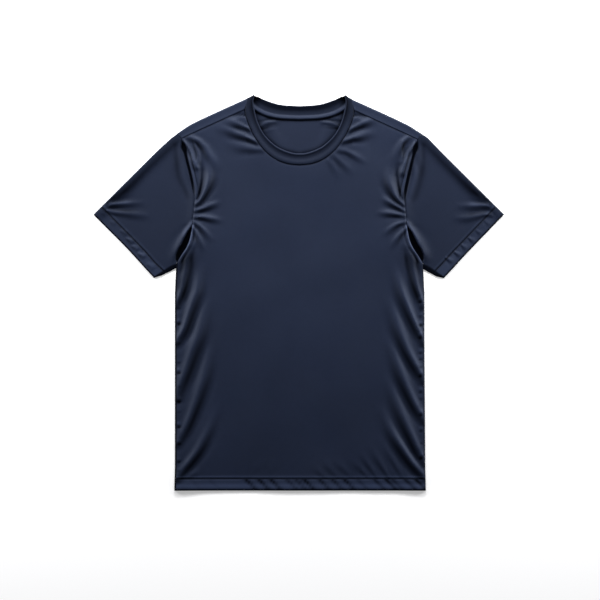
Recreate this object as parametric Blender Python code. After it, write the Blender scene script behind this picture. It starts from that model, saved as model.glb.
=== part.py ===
"""Crew neck t-shirt in satin jersey, laid out flat on its back with the sleeves spread.

Five sewn pieces, each one cloth wall of its own: front, back, two sleeves and the neckband.
The back lies flat on the surface and rolls over both shoulders to a seam on the front, the
front lies on the back and rolls down to it at the side seams, each sleeve is a flattened
tube, and the neckband is a doubled strip that turns over at the shoulders.

Metres, +Z up. +X runs from sleeve to sleeve and +Y from hem to neck; the origin is the
middle of the outline, on the surface that the shirt lies on.
"""
import math

import bpy
import numpy as np

# ---------------------------------------------------------------- driving dimensions
MM = 0.001                  # the tables below are in millimetres
WALL = 1.2 * MM             # one layer of cloth
BAND_THICK = 2.2 * MM       # the neckband is the cloth folded double
SEAM_GAP = 0.3 * MM         # between two pieces along their seam

HALF_LENGTH = 394.5 * MM    # hem to shoulder tip is twice this
HEM_HALF = 249.5 * MM       # half the width along the hem
SIDE_HALF = 248 * MM        # half the width at the waist
HEM_FLARE = 60 * MM         # the sides draw in over this height above the hem
CHEST_TAPER = 1 * MM        # and by this much more up to the underarm
HEM_DEPTH = 24.5 * MM       # turned-up hem, down to its stitching
UNDERARM = (247 * MM, 60 * MM)

UNDERARM_FADE = 60 * MM     # the side seam's soft edge ends this far above the underarm

EDGE_HEIGHT = 6.0 * MM      # over the rolled edges and the seams
MIDDLE_HEIGHT = 3.2 * MM    # over the middle, where the layers touch
SETTLE = 45 * MM            # how far from an edge the cloth takes to settle
ROLL = EDGE_HEIGHT / 2      # radius of the rolled shoulder and sleeve edges
SIDE_ROLL = 8 * MM          # width of the soft edge at the side seam
SIDE_SEAM_HEIGHT = 1.9 * MM  # where the front's edge stops, just over the back
SEAM_DIP = 0.9 * MM         # how deep a seam sinks between two panels
DIP_WIDTH = 5 * MM
HEM_RISE = 0.5 * MM         # the doubled hem stands this much proud
GROOVE = 0.5 * MM           # the hem's stitching sinks in this much

# Outlines in millimetres, right half, as x, y.
FRONT_ARMHOLE = [(247, 60), (236, 92), (216.5, 130.5), (214, 166), (210, 200),
                 (214.5, 256), (225, 291), (235, 309.3)]
BACK_ARMHOLE = [(247, 60), (234, 98), (224, 145), (219.5, 190), (220.5, 238),
                (229, 285), (241.4, 318.2)]
SHOULDER_FOLD = [(108.3, 387.6), (160, 364.3), (215, 338.5), (242.9, 320.8)]
SHOULDER_SEAM = [(111, 365.7), (235, 309.3)]
SHOULDER_TIP = (241.4, 318.2)       # where the armhole meets the rolled edge
BAND_FREE_FRONT = [(0, 278.5), (31.8, 286.1), (49.8, 296.9), (67.6, 316.5), (80, 341.5),
                   (88.6, 368)]
BAND_SEAM_FRONT = [(0, 257.1), (24.8, 259.3), (49.8, 268.3), (73, 287.9), (92.6, 316.5),
                   (105, 345.1), (109.6, 362.9)]
BAND_TURN = [(91, 392.1), (107, 384.9)]     # free edge and seam where the band turns over
BAND_FREE_BACK = [BAND_TURN[0], (81, 389.3), (67.6, 382.5), (39, 375.1), (0, 373.1)]
BAND_SEAM_BACK = [BAND_TURN[1], (98, 375.5), (88, 368.3), (67.6, 359.3), (39, 353.1),
                  (0, 350.1)]
BAND_FRONT_STEPS = 10       # the panels' edges have the band's own points
BAND_BACK_STEPS = 8
ARMHOLE_PARTS = [(0, 0.28, 4), (0.28, 0.6, 7), (0.6, 1, 5)]     # from, to, steps
BACK_ARMHOLE_PARTS = [(0, 1, 8)]
SLEEVE_TOP = [(243.8, 321.4), (253, 314.2), (300, 267.2), (409, 157.5)]
SLEEVE_UNDER = [(248, 59.2), (265, 48.5), (287, 31.5)]

# Folds: start x, y, bend x, y, end x, y, height, width. They start at a seam and fade
# towards their end. A negative height is a trough.
FRONT_FOLDS = [
    # left side seam, from the waist down
    (-246, -53, -219, -19, -203, 59, 2.4, 8),
    (-246, -149, -209, -93, -195, -13, 3.4, 9),
    (-246, -258, -207, -194, -189, -110, 3.2, 9),
    (-246, -361, -207, -307, -171, -241, 3.6, 9),
    # right side seam
    (246, -53, 221, -18, 194, 62, 2.2, 8),
    (246, -144, 215, -93, 189, -30, 3.2, 9),
    (246, -226, 213, -168, 185, -102, 2.6, 9),
    (246, -305, 219, -262, 193, -198, 2.4, 8),
    (246, -362, 213, -314, 177, -249, 3.4, 9),
    # fan above the hem
    (181, -366, 157, -328, 137, -293, 1.6, 8),
    (139, -366, 123, -342, 105, -310, 1.5, 8),
    (106, -366, 89, -338, 71, -308, 1.4, 8),
    # left armhole
    (-212, 190, -192, 208, -188, 258, 2.8, 8),
    (-210, 166, -189, 177, -160, 184, 2.6, 7),
    (-214, 140, -191, 129, -178, 100, 2.6, 8),
    (-226, 300, -196, 292, -166, 246, 1.8, 10),
    # right armhole
    (212, 190, 194, 207, 184, 236, 2.6, 8),
    (210, 164, 190, 174, 164, 184, 2.5, 7),
    (214, 138, 192, 132, 176, 104, 2.5, 8),
    (226, 298, 198, 288, 184, 252, 1.6, 10),
    # out from the neck seam
    (-106, 344, -121, 352, -150, 358, 1.5, 7),
    (-92, 304, -119, 316, -160, 326, 1.5, 8),
    (106, 342, 123, 350, 146, 355, 1.5, 7),
    (82, 288, 101, 286, 124, 274, 1.4, 8),
]
SLEEVE_FOLDS = [
    (396, 172, 362, 185, 308, 189, 2.0, 8),     # in from the hem's top corner
    (382, 158, 352, 159, 306, 158, 1.5, 8),
    (222, 150, 243, 124, 272, 60, 3.0, 11),     # along the hollow under the arm
    (258, 292, 318, 232, 384, 170, -1.2, 7),    # just inside the top edge
]
SLEEVE_HOLLOW = (226, 128, 240, 100, 247, 72, -2.2, 6)  # deep fold beside the body


# ---------------------------------------------------------------- curves and folds
def curve(points, fractions):
    """Points at these fractions of the length of a smooth curve through `points`."""
    keys = np.array(points, float)
    ends = np.vstack([2 * keys[0] - keys[1], keys, 2 * keys[-1] - keys[-2]])
    fine = []
    for a, b, c, d in zip(ends, ends[1:], ends[2:], ends[3:]):
        for t in np.linspace(0, 1, 24, endpoint=False):
            fine.append(0.5 * (2 * b + (c - a) * t + (2 * a - 5 * b + 4 * c - d) * t ** 2
                               + (3 * b - a - 3 * c + d) * t ** 3))
    fine = np.array(fine + [keys[-1]])
    run = np.concatenate([[0], np.cumsum(np.linalg.norm(np.diff(fine, axis=0), axis=1))])
    spots = np.asarray(fractions, float) * run[-1]
    return np.stack([np.interp(spots, run, fine[:, k]) for k in (0, 1)], axis=-1)


def mm_curve(points, fractions):
    return curve(points, fractions) * MM


def smooth(t):
    t = np.clip(t, 0, 1)
    return t * t * (3 - 2 * t)


def fold_heights(x, y, folds):
    """Height that the folds add at each x, y: a soft ridge with a low trough on each side."""
    total = np.zeros_like(x)
    t = np.linspace(0, 1, 30)[:, None]
    for x0, y0, x1, y1, x2, y2, height, width in folds:
        start, bend, end = (np.array(p) * MM for p in ((x0, y0), (x1, y1), (x2, y2)))
        control = 2 * bend - (start + end) / 2
        line = (1 - t) ** 2 * start + 2 * t * (1 - t) * control + t ** 2 * end
        gaps = np.hypot(x[..., None] - line[:, 0], y[..., None] - line[:, 1])
        nearest = gaps.argmin(axis=-1)
        along = nearest / (len(line) - 1)
        away = gaps.min(axis=-1) / (width * MM * (0.8 + 0.5 * along))
        shape = 1.25 * np.exp(-away ** 2) - 0.25 * np.exp(-(away / 2) ** 2)
        total += height * MM * (1 - smooth(along)) * shape
    return total


def settled(gap):
    """1 at a panel's sewn edge, falling to 0 where the cloth has settled."""
    return np.exp(-(gap / SETTLE) ** 2)


def distance_to(x, y, line):
    return np.hypot(x[..., None] - line[:, 0], y[..., None] - line[:, 1]).min(axis=-1)


# ---------------------------------------------------------------- meshes and materials
def cloth_material(name, colour, roughness):
    material = bpy.data.materials.new(name)
    material.use_nodes = True
    shader = material.node_tree.nodes["Principled BSDF"]
    shader.inputs["Base Color"].default_value = (*colour, 1)
    shader.inputs["Roughness"].default_value = roughness
    shader.inputs["Metallic"].default_value = 0
    return material


def add_object(name, points, faces, wall, colour=(0.027, 0.037, 0.068), roughness=0.42):
    """One named piece. With a wall, the points are its outer side and it grows inwards."""
    mesh = bpy.data.meshes.new(name)
    mesh.from_pydata([tuple(p) for p in points], [], faces)
    piece = bpy.data.objects.new(name, mesh)
    bpy.context.scene.collection.objects.link(piece)
    mesh.materials.append(cloth_material(name + "_cloth", colour, roughness))
    mesh.shade_smooth()
    mesh.set_sharp_from_angle(angle=math.radians(40))
    if wall:
        weld = piece.modifiers.new("weld", "WELD")
        weld.merge_threshold = 0.00001
        solidify = piece.modifiers.new("wall", "SOLIDIFY")
        solidify.thickness = wall
        solidify.offset = -1
        solidify.use_even_offset = True
    return piece


def grid_faces(rows, columns, first=0, closed=False, flip=False):
    """Quads of a grid of rows x columns points, wound to face +Z or, flipped, -Z."""
    faces = []
    for i in range(rows - 1):
        for j in range(columns if closed else columns - 1):
            k = (j + 1) % columns
            quad = (first + i * columns + j, first + i * columns + k,
                    first + (i + 1) * columns + k, first + (i + 1) * columns + j)
            faces.append(quad[::-1] if flip else quad)
    return faces


# ---------------------------------------------------------------- front
# Columns, as distances from the side: along the hem, and along the shoulder and neck.
FRONT_COLUMNS = [0, 1.2, 4, 8, 15, 23, 31.5, 40.5, 50.5, 62, 76, 94, 116, 141, 168, 195, 222]
SHOULDER_COLUMNS = [0, 1.2, 4, 8, 30, 60, 92]
COLUMNS_TURN = (-60 * MM, 300 * MM)     # between these heights the first become the second
NECK_PULL = (10 * MM, 309.3 * MM)       # between these the rows bend to the neck
PULL_EASE = 1.6


def mirrored(half):
    """Left to right, from a right half that starts at the side and ends on the middle."""
    left = half[::-1][1:] * (-1, 1)
    return np.vstack([half, left])[::-1]


def armhole_fractions(parts):
    return np.concatenate([np.linspace(a, b, n, endpoint=False) for a, b, n in parts] + [[1.0]])


def side_rows(armhole, hem_steps, side_steps, parts):
    """Points up the right side seam and armhole, a row each."""
    hem_y, underarm_y = -HALF_LENGTH, UNDERARM[1]
    ys = list(hem_y + np.array(hem_steps) * MM)
    ys += list(np.linspace(ys[-1], underarm_y, side_steps + 1)[1:-1])
    halves = [HEM_HALF + (SIDE_HALF - HEM_HALF) * smooth((y - hem_y) / HEM_FLARE) for y in ys]
    rows = [(x - CHEST_TAPER * max(0, y) / underarm_y, y) for x, y in zip(halves, ys)]
    return np.vstack([rows, mm_curve(armhole, armhole_fractions(parts))])


def panel(side, bottom_columns, top, turn, pull):
    """A panel's plan: rows run from side to side, columns from the hem to the top edge."""
    tip = side[-1]
    bottom = np.array(bottom_columns) * MM / HEM_HALF
    half = np.concatenate([1 - bottom, [0]])
    fraction_hem = np.concatenate([-half, half[::-1][1:]])
    fraction_top = top[:, 0] / tip[0]
    turned = smooth((side[:, 1] - turn[0]) / (turn[1] - turn[0]))[:, None]
    pulled = np.clip((side[:, 1] - pull[0]) / (pull[1] - pull[0]), 0, 1)[:, None] ** PULL_EASE
    x = side[:, :1] * ((1 - turned) * fraction_hem + turned * fraction_top)
    y = side[:, 1:] + pulled * (top[:, 1] - tip[1])
    return x, y


def make_front():
    side = side_rows(FRONT_ARMHOLE, [0, 21.5, 24.5, 28, 42], 23, ARMHOLE_PARTS)
    side[:, 0] -= SEAM_GAP / 2
    armhole_rows = len(armhole_fractions(ARMHOLE_PARTS))
    neck = mm_curve(BAND_SEAM_FRONT, np.linspace(1, 0, BAND_FRONT_STEPS + 1))
    neck[:, 0] += SEAM_GAP * (neck[:, 0] > 0)
    neck[:, 1] -= SEAM_GAP
    shoulder = np.array(SHOULDER_SEAM[::-1], float) * MM
    steps = np.array(SHOULDER_COLUMNS)[:, None] * MM / (shoulder[0, 0] - shoulder[1, 0])
    shoulder = shoulder[0] + (shoulder[1] - shoulder[0]) * steps
    shoulder[:, 1] -= SEAM_GAP
    shoulder[0] = side[-1]
    top = mirrored(np.vstack([shoulder, neck]))
    x, y = panel(side, FRONT_COLUMNS, top, COLUMNS_TURN, NECK_PULL)

    sewn = np.vstack([side[-armhole_rows:], shoulder, neck])
    lift = settled(distance_to(np.abs(x), y, sewn))
    body_gap = SIDE_HALF - np.abs(x)
    lift = np.maximum(lift, settled(body_gap) * (1 - smooth((y - UNDERARM[1]) / UNDERARM_FADE)))
    z = MIDDLE_HEIGHT + (EDGE_HEIGHT - MIDDLE_HEIGHT) * lift
    z += fold_heights(x, y, FRONT_FOLDS)

    hem = y + HALF_LENGTH
    z += HEM_RISE * (1 - smooth((hem - HEM_DEPTH) / (2 * MM)))
    z -= (GROOVE + HEM_RISE / 2) * (np.abs(hem - HEM_DEPTH) < MM)

    seam = distance_to(np.abs(x), y, sewn)
    z -= SEAM_DIP * (1 - smooth(seam / DIP_WIDTH))
    inward = (1 - np.abs(x) / side[:, :1]) * side[:, :1]
    across = np.clip(1 - inward / SIDE_ROLL, 0, 1)
    rolled = 1 - smooth((side[:, 1:] - UNDERARM[1] + 5 * MM) / UNDERARM_FADE)
    drop = (z - SIDE_SEAM_HEIGHT) * (1 - np.sqrt(1 - across ** 2))
    z -= drop * rolled
    points = np.stack([x, y, z], axis=-1).reshape(-1, 3)
    return add_object("front", points, grid_faces(*x.shape), WALL)


# ---------------------------------------------------------------- back
BACK_COLUMNS = [0, 9, 28, 52, 78, 104, 128, 150, 170, 190, 208, 224, 238]
BACK_SHOULDER_STEPS = 5
ROLL_STEPS = 5
STRIP_STEPS = 2


def make_back():
    side = side_rows(BACK_ARMHOLE, [0, 24.5], 10, BACK_ARMHOLE_PARTS)
    side[:, 0] -= SEAM_GAP / 2
    parts = np.linspace(1, 0, BACK_SHOULDER_STEPS + 1)
    fold = mm_curve(SHOULDER_FOLD, parts)
    along = np.gradient(fold, axis=0)
    out = np.stack([along[:, 1], -along[:, 0]], axis=-1)
    out /= np.linalg.norm(out, axis=1)[:, None]
    base = fold - ROLL * out
    base[0] = side[-1]
    neck = mm_curve(BAND_SEAM_BACK, np.linspace(0, 1, BAND_BACK_STEPS + 1))[1:]
    neck[:, 1] -= SEAM_GAP
    base[-1] += (SEAM_GAP, -SEAM_GAP)
    top = mirrored(np.vstack([base, neck]))
    x, y = panel(side, BACK_COLUMNS, top, COLUMNS_TURN, NECK_PULL)
    z = np.zeros_like(x)
    points = [np.stack([x, y, z], axis=-1).reshape(-1, 3)]
    faces = grid_faces(*x.shape, flip=True)

    seam = np.array(SHOULDER_SEAM[::-1], float) * MM
    seam = seam[0] + (seam[1] - seam[0]) * (1 - parts)[:, None]
    turns = np.linspace(0, math.pi, ROLL_STEPS + 1)
    for sign in (1, -1):
        rows = []
        for turn in turns:
            plan = base + ROLL * math.sin(turn) * out
            rows.append(np.column_stack([plan, np.full(len(plan), ROLL * (1 - math.cos(turn)))]))
        for step in range(1, STRIP_STEPS + 1):
            plan = base + (seam - base) * step / STRIP_STEPS
            drop = SEAM_DIP if step == STRIP_STEPS else 0
            rows.append(np.column_stack([plan, np.full(len(plan), EDGE_HEIGHT - drop)]))
        strip = np.array(rows) * (sign, 1, 1)
        first = sum(len(p) for p in points)
        points.append(strip.reshape(-1, 3))
        faces += grid_faces(*strip.shape[:2], first=first, flip=sign < 0)
    return add_object("back", np.vstack(points), faces, WALL)


# ---------------------------------------------------------------- sleeves
SLEEVE_ROWS = [0, 0.015, 0.05, 0.11, 0.18, 0.26, 0.35, 0.45, 0.55, 0.65, 0.75, 0.83, 0.895,
               0.915, 1]
EDGE_TURNS = 4
CUFF_HEIGHT = 4.6 * MM      # height of the sleeve at its hem
CUFF_STITCH = 0.9           # where the hem's stitching runs, as a part of the sleeve
UNDERARM_HEIGHT = 4.4 * MM
UPPER_LAYER = 3.0 * MM      # the upper layer's outside is never lower than this
SLEEVE_SAG = 1.0 * MM
TIP_OUT = np.array([0.5, 0.866])        # outwards at the shoulder tip
EDGE_OUT = np.array([0.707, 0.707])     # outwards along the sleeve's top edge
UNDER_OUT = np.array([-0.58, -0.81])    # outwards along the underarm


def edge_roll(first, last, out, reach, rising):
    """Points round a rolled edge, from one layer's last point to the other layer's first."""
    points = []
    for turn in np.linspace(0, math.pi, EDGE_TURNS + 1)[1:-1]:
        mix = (1 - math.cos(turn)) / 2
        plan = first[:2] * (1 - mix) + last[:2] * mix + reach * math.sin(turn) * out
        points.append((*plan, last[2] * mix if rising else first[2] * (1 - mix)))
    return points


def make_sleeve(name, sign):
    rows = np.array(SLEEVE_ROWS)[:, None, None]
    top_line = mm_curve(SLEEVE_TOP, SLEEVE_ROWS)
    under_line = mm_curve(SLEEVE_UNDER, SLEEVE_ROWS)
    leaves_body = smooth(rows[..., 0] / 0.1)
    top_out = TIP_OUT + (EDGE_OUT - TIP_OUT) * leaves_body
    top_base = top_line - ROLL * top_out
    under_base = under_line - ROLL * UNDER_OUT * leaves_body

    front_parts = armhole_fractions(ARMHOLE_PARTS)
    front_hole = np.vstack([mm_curve(FRONT_ARMHOLE, front_parts), np.array([SHOULDER_TIP]) * MM])
    back_hole = mm_curve(BACK_ARMHOLE, armhole_fractions(BACK_ARMHOLE_PARTS))

    def layer(hole):
        """A layer between the armhole and the hem, with its edges on the sleeve's own."""
        steps = np.linalg.norm(np.diff(hole, axis=0), axis=1)
        across = np.concatenate([[0], np.cumsum(steps)])[:, None] / steps.sum()
        hole = hole + (SEAM_GAP, 0)
        cuff = under_base[-1] + (top_base[-1] - under_base[-1]) * across
        plan = hole + (cuff - hole) * rows
        low, high = under_base[:, None] - plan[:, :1], top_base[:, None] - plan[:, -1:]
        fade = leaves_body[:, None]
        return plan + fade * ((1 - across) ** 3 * low + across ** 3 * high), across[:, 0]

    (upper, w), (lower, _) = layer(front_hole), layer(back_hole)
    x, y = upper[..., 0], upper[..., 1]
    s, w = rows[..., 0], w[None]
    z = UNDERARM_HEIGHT + (EDGE_HEIGHT - UNDERARM_HEIGHT) * smooth((w - 0.5) / 0.5)
    z = z + (CUFF_HEIGHT - z) * s
    z -= SLEEVE_SAG * np.sin(math.pi * w) * leaves_body
    z += fold_heights(x, y, SLEEVE_FOLDS + [SLEEVE_HOLLOW])
    z += HEM_RISE * smooth((s - CUFF_STITCH) / 0.01)
    z = np.maximum(z, UPPER_LAYER)
    upper = np.dstack([upper, z])
    lower = np.dstack([lower, np.zeros(lower.shape[:2])])

    rings = []
    for i in range(len(SLEEVE_ROWS)):
        reach = ROLL * leaves_body[i, 0]
        rings.append([*upper[i], *edge_roll(upper[i, -1], lower[i, -1], top_out[i], ROLL, False),
                      *lower[i, ::-1], *edge_roll(lower[i, 0], upper[i, 0], UNDER_OUT, reach, True)])
    rings = np.array(rings) * (sign, 1, 1)
    faces = grid_faces(*rings.shape[:2], closed=True, flip=sign > 0)
    return add_object(name, rings.reshape(-1, 3), faces, WALL)


# ---------------------------------------------------------------- neckband
BAND_TURN_STEPS = 6
BAND_HEIGHT = 6.3 * MM      # over the turned band
BAND_ACROSS = [0, 0.06, 0.35, 0.65, 0.94, 1]
BAND_HALF_THICK = [0.3, 0.82, 1, 1, 0.82, 0.55]     # as parts of half its thickness


def make_neckband():
    """A closed ring of flat sections, each from the free edge to the seam."""
    swing = BAND_HEIGHT / 2 - BAND_THICK / 2
    out = np.array([0.42, 0.907])
    stations = []       # free edge, seam edge, turn
    steps = np.linspace(0, 1, BAND_FRONT_STEPS + 1)
    for free, seam in zip(mm_curve(BAND_FREE_FRONT, steps), mm_curve(BAND_SEAM_FRONT, steps)):
        stations.append((free, seam, 0.0))
    for turn in np.linspace(0, math.pi, BAND_TURN_STEPS + 1)[:-1]:
        stations.append((*(np.array(BAND_TURN) * MM), turn))
    steps = np.linspace(0, 1, BAND_BACK_STEPS + 1)
    for free, seam in zip(mm_curve(BAND_FREE_BACK, steps), mm_curve(BAND_SEAM_BACK, steps)):
        stations.append((free, seam, math.pi))

    half = []
    for free, seam, turn in stations:
        across = np.array(BAND_ACROSS)[:, None]
        middle = free + (seam - free) * across + swing * math.sin(turn) * out
        level = BAND_HEIGHT / 2 + swing * math.cos(turn)
        thick = np.array(BAND_HALF_THICK)[:, None] * BAND_THICK / 2
        if turn == math.pi:
            thick = np.full_like(thick, BAND_THICK / 2) * np.where(across < 0.03, 0.6, 1)
        away = np.array([*(math.sin(turn) * out), math.cos(turn)])
        centre = np.column_stack([middle, np.full(len(middle), level)])
        half.append(np.vstack([centre + thick * away, (centre - thick * away)[::-1]]))
    half = np.array(half)
    other = half[::-1][1:-1] * (-1, 1, 1)
    ring = np.vstack([half, other])
    rows, columns = ring.shape[:2]
    faces = []
    for i in range(rows):
        for j in range(columns):
            a, b = (i + 1) % rows, (j + 1) % columns
            faces.append((i * columns + j, i * columns + b, a * columns + b, a * columns + j))
    return add_object("neckband", ring.reshape(-1, 3), faces, 0)


# ---------------------------------------------------------------- the shirt
for old in list(bpy.data.objects):
    bpy.data.objects.remove(old, do_unlink=True)

make_back()
make_front()
make_sleeve("sleeve_right", 1)
make_sleeve("sleeve_left", -1)
make_neckband()
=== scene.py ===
import math

import bpy
import numpy as np
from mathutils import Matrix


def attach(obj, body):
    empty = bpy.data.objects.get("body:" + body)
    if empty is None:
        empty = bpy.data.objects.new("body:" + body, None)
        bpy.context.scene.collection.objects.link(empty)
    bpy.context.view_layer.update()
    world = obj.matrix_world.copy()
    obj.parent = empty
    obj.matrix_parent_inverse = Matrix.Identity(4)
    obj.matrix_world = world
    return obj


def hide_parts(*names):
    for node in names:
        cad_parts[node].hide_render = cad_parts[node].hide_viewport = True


# A crew neck t-shirt in navy satin jersey, laid out flat on its back with the sleeves spread.
# It is made in the order in which it is sewn: back, front, sleeves, neckband, stitching.
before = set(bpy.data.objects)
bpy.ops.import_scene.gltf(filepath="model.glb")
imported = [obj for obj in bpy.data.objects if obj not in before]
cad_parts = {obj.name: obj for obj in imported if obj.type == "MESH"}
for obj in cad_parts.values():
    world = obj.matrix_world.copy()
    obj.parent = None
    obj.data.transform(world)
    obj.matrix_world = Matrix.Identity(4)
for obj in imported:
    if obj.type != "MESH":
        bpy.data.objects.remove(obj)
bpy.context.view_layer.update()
bpy.ops.object.select_all(action="DESELECT")


# ------------------------------------------------------------------ table, camera and lamps
# The shirt lies on a white back-lit table and is seen from straight above, neck uppermost.
# One wide soft lamp beyond the neck and one at each upper corner rake low across the cloth.
PICTURE_WIDTH = 1.2       # metres of table from side to side
LENS = 100                # mm
SENSOR = 36
CAMERA_AT = (0.001, -0.0135)
bpy.ops.object.camera_add(location=(*CAMERA_AT, PICTURE_WIDTH * LENS / SENSOR))
camera = bpy.context.object
camera.data.lens = LENS
camera.data.sensor_width = SENSOR
bpy.context.scene.camera = camera


def new_material(name, **sockets):
    """A material, its node tree and its shader with these sockets set."""
    material = bpy.data.materials.new(name)
    material.use_nodes = True
    shader = material.node_tree.nodes["Principled BSDF"]
    for socket, value in sockets.items():
        shader.inputs[socket.replace("_", " ")].default_value = value
    return material, material.node_tree, shader


TABLE_LEVEL = -0.0004     # just under the stitches on the table side
bpy.ops.mesh.primitive_plane_add(size=16, location=(0, 0, TABLE_LEVEL))
table = bpy.context.object
table.name = "table"
table.data.materials.append(new_material(
    "table_white", Base_Color=(0.86, 0.86, 0.87, 1), Roughness=0.8,
    Emission_Color=(1, 1, 1, 1), Emission_Strength=0.4)[0])


def add_lamp(name, place, aim, size, watts):
    """A soft rectangular lamp at `place`, facing `aim`; size is width and height."""
    bpy.ops.object.light_add(type="AREA", location=place)
    lamp = bpy.context.object
    lamp.name = name
    lamp.data.shape = "RECTANGLE"
    lamp.data.size, lamp.data.size_y = size
    lamp.data.energy = watts
    to_aim = [a - p for a, p in zip(aim, place)]
    across = math.hypot(to_aim[0], to_aim[1])
    lamp.rotation_euler = (math.atan2(across, -to_aim[2]), 0,
                           math.atan2(to_aim[0], -to_aim[1]) + math.pi)


add_lamp("key_lamp", (0, 1.35, 0.68), (0, 0, 0), (1.1, 0.3), 34)
add_lamp("left_lamp", (-1.3, 0.6, 0.5), (-0.1, -0.1, 0), (0.5, 0.4), 20)
add_lamp("right_lamp", (1.3, 0.6, 0.5), (0.1, -0.1, 0), (0.5, 0.4), 20)

world = bpy.data.worlds.new("studio")
world.use_nodes = True
bpy.context.scene.world = world
world.node_tree.nodes["Background"].inputs["Color"].default_value = (0.92, 0.95, 1, 1)
world.node_tree.nodes["Background"].inputs["Strength"].default_value = 0.07
bpy.context.scene.view_settings.view_transform = "Standard"


# ------------------------------------------------------------------ back
# The back is cut in one with the shoulders: it lies face down on the table and rolls over
# both shoulders to a seam on the front. Satin jersey 0.7 mm thick, single layer, with a
# turned-up hem.
MM = 0.001                # sizes from here on are in millimetres
WALL = 0.7
HALF_LENGTH = 394.5       # hem to shoulder tip is twice this
HEM_HALF = 251            # half the width at the hem
SIDE_HALF = 249.8         # half the width at the waist
HEM_FLARE = 60            # the sides draw in over this height
CHEST_TAPER = 2.8
HEM_DEPTH = 23.5          # up to its stitching
UNDERARM_Y = 60
EDGE_HEIGHT = 6           # over rolled edges and seams
ROLL = EDGE_HEIGHT / 2    # radius of the rolled shoulder
NECK_ALLOWANCE = 1.2      # the back's edge lies this far under the neckband
# Outlines are the right half; the left mirrors them.
BACK_ARMHOLE = [(247, 60), (234, 98), (224, 145), (219.5, 190), (220.5, 238), (229, 285),
    (241.4, 318.2)]
SHOULDER_FOLD = [(104.8, 389.2), (160, 364.3), (215, 338.5), (242.9, 320.8)]
SHOULDER_SEAM = [(111, 365.7), (235, 309.3)]
# The neckband: where its free edge and its seam turn over the shoulder, then both edges.
BAND_TURN = [(89.5, 394.2), (106, 385.6)]
BAND_FREE_FRONT = [(0, 279.5), (12, 280.2), (31.8, 286.6), (50.6, 297.3), (70, 317),
                   (83, 341.5), (89.5, 366), (92, 384), BAND_TURN[0]]
BAND_SEAM_BACK = [BAND_TURN[1], (98, 373), (88, 363.6), (67.6, 353.4), (39, 347.4), (0, 345.6)]
COLUMNS_TURN = (-60, 300)  # between these heights the columns spread to the top
NECK_PULL = (10, 309.3)    # and the rows bend to the neckline
PULL_EASE = 1.6

# Creases in the back, on the table side: height, widths on both sides, the share after which
# it fades, and points from the seam inwards.
BACK_CREASES = [
    (1.1, 9, 9, 0.4, (-246, -120), (-226, -88), (-208, -30)),
    (1.2, 10, 10, 0.4, (-246, -250), (-222, -210), (-196, -130)),
    (1, 9, 9, 0.4, (-246, -350), (-218, -316), (-186, -262)),
    (1.1, 9, 9, 0.4, (246, -70), (228, -40), (206, 20)),
    (1.3, 10, 10, 0.4, (246, -190), (224, -150), (196, -84)),
    (1, 9, 9, 0.4, (246, -310), (220, -270), (184, -206)),
    (1.2, 8, 8, 0.4, (-222, 180), (-190, 190), (-158, 214)),
    (1, 7, 7, 0.4, (-228, 130), (-200, 118), (-170, 84)),
    (1.2, 8, 8, 0.4, (222, 176), (192, 184), (160, 204)),
    (1, 7, 7, 0.4, (228, 126), (204, 112), (176, 76)),
    (0.8, 12, 12, 0.4, (-70, 346), (-40, 300), (-20, 240)),
    (0.8, 12, 12, 0.4, (64, 346), (44, 296), (30, 226)),
]
# Folds inside the back of the neck, in the same terms.
INSIDE_FOLDS = [
    (1.8, 3.4, 3.4, 0.7, (-86, 328), (-74, 336), (-66, 339.5), (-58, 342), (-36, 344)),
    (-2.2, 3, 3, 0.6, (-88, 344), (-74, 345.5), (-66, 347.5), (-48, 347.5), (-20, 343)),
    (-2.8, 3, 3.4, 0.7, (-84, 320), (-74, 328), (-66, 331), (-57, 335), (-30, 341)),
    (1.8, 3.4, 3.4, 0.7, (86, 328), (76, 335.5), (68, 339), (52, 341.5), (36, 342)),
    (-2.2, 3, 3, 0.6, (88, 344), (76, 345.5), (68, 346), (52, 348), (30, 345)),
    (-2.8, 3, 3.4, 0.7, (86, 322), (76, 329), (62, 331), (52, 333), (34, 337)),
]


def ease(t):
    """0 to 1 with a smooth start and end."""
    t = np.clip(t, 0, 1)
    return t * t * (3 - 2 * t)


def bell(gap, width):
    """1 on a line, falling off smoothly on both sides of it."""
    return np.exp(-(gap / width) ** 2)


def run_along(points):
    """How far along a line each of its points lies."""
    return np.concatenate([[0], np.cumsum(np.linalg.norm(np.diff(points, axis=0), axis=1))])


def curve(points, fractions):
    """Points at these fractions of a smooth curve, or this many evenly along it."""
    keys = np.array(points, float)
    ends = np.vstack([2 * keys[0] - keys[1], keys, 2 * keys[-1] - keys[-2]])
    fine = []
    for a, b, c, d in zip(ends, ends[1:], ends[2:], ends[3:]):
        for t in np.linspace(0, 1, 24, endpoint=False):
            fine.append(0.5 * (2 * b + (c - a) * t + (2 * a - 5 * b + 4 * c - d) * t ** 2
                               + (3 * b - a - 3 * c + d) * t ** 3))
    fine = np.array(fine + [keys[-1]])
    run = run_along(fine)
    if isinstance(fractions, int):
        fractions = np.linspace(0, 1, fractions)
    spots = fractions * run[-1]
    return np.stack([np.interp(spots, run, fine[:, k]) for k in range(2)], axis=-1)


def stations(parts):
    """Stations from rows of from, to and steps."""
    runs = [np.linspace(a, b, n, endpoint=False) for a, b, n in parts]
    return np.concatenate(runs + [[parts[-1][1]]])


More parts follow.
